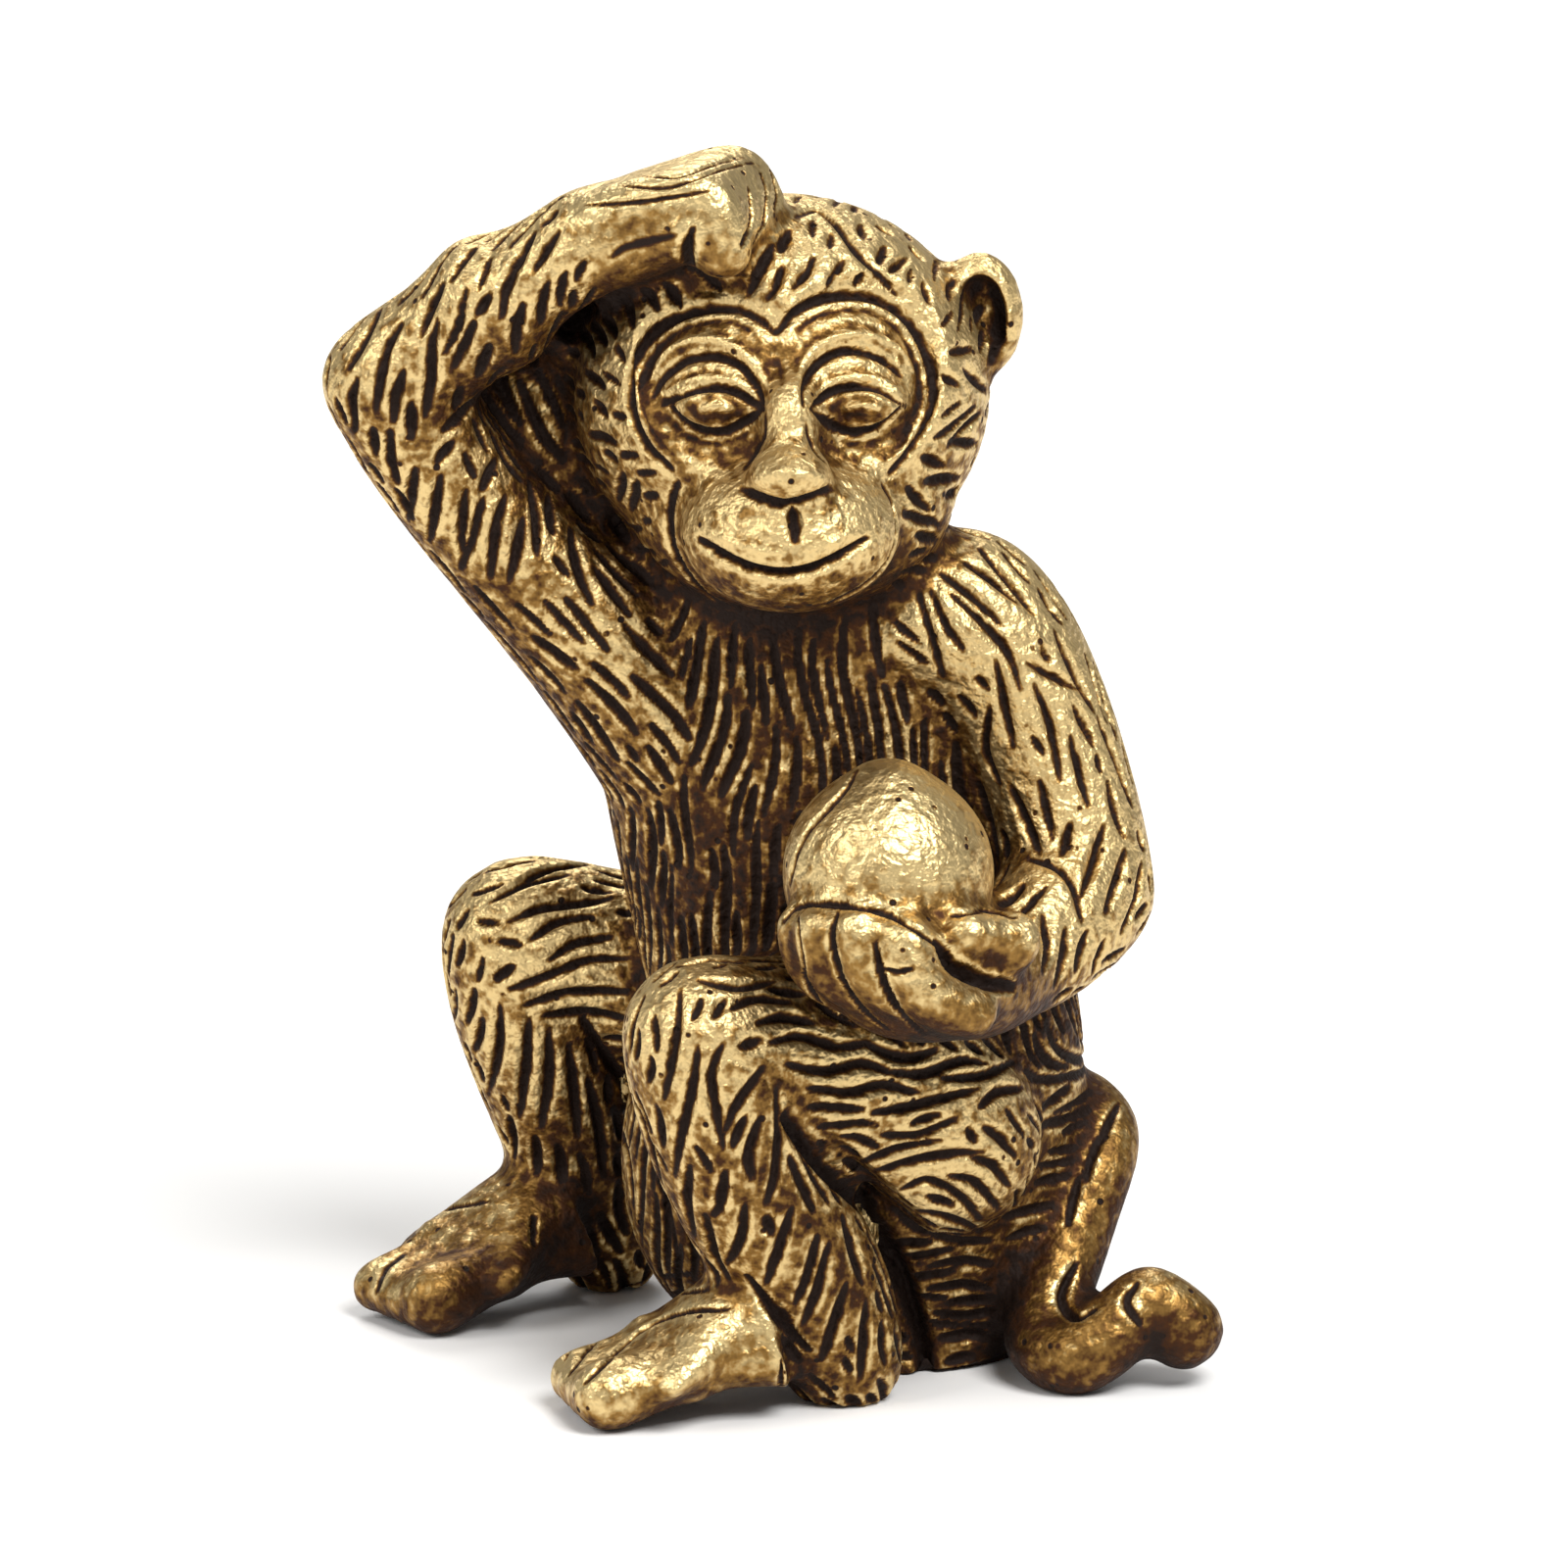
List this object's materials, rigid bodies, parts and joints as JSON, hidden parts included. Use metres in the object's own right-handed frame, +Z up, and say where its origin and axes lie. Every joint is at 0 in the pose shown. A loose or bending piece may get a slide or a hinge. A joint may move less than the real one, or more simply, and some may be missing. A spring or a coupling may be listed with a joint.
{
  "type": "monkey figurine",
  "caption": "Small solid cast-brass figurine of a seated monkey, one hand raised to its brow and the other holding a peach, with a curled tail beside the seat.",
  "frame": {"origin": "middle of the footprint's bounding box, on the surface the figure stands on", "axes": "+Z up, the face looks along -Y, +X towards the monkey's left hand (the viewer's right)"},
  "size_m": [0.0286, 0.0226, 0.0404],
  "materials": {
    "chased_brass": "cast brass with chased fur strokes, dark brown antique patina left in the recesses",
    "burnished_brass": "smooth cast brass with fine grain and pinholes, hand-rubbed bright on the high spots"
  },
  "bodies": {
    "root": {"torso": "chased_brass", "head": "chased_brass", "left_ear": "chased_brass", "right_ear": "chased_brass", "right_upper_arm": "chased_brass", "right_forearm": "chased_brass", "left_upper_arm": "chased_brass", "left_forearm": "chased_brass", "left_thigh": "chased_brass", "left_shin": "chased_brass", "right_thigh": "chased_brass", "right_shin": "chased_brass", "right_hand": "burnished_brass", "left_hand": "burnished_brass", "peach": "burnished_brass", "left_foot": "burnished_brass", "right_foot": "burnished_brass", "tail": "burnished_brass"}
  },
  "joints": []
}
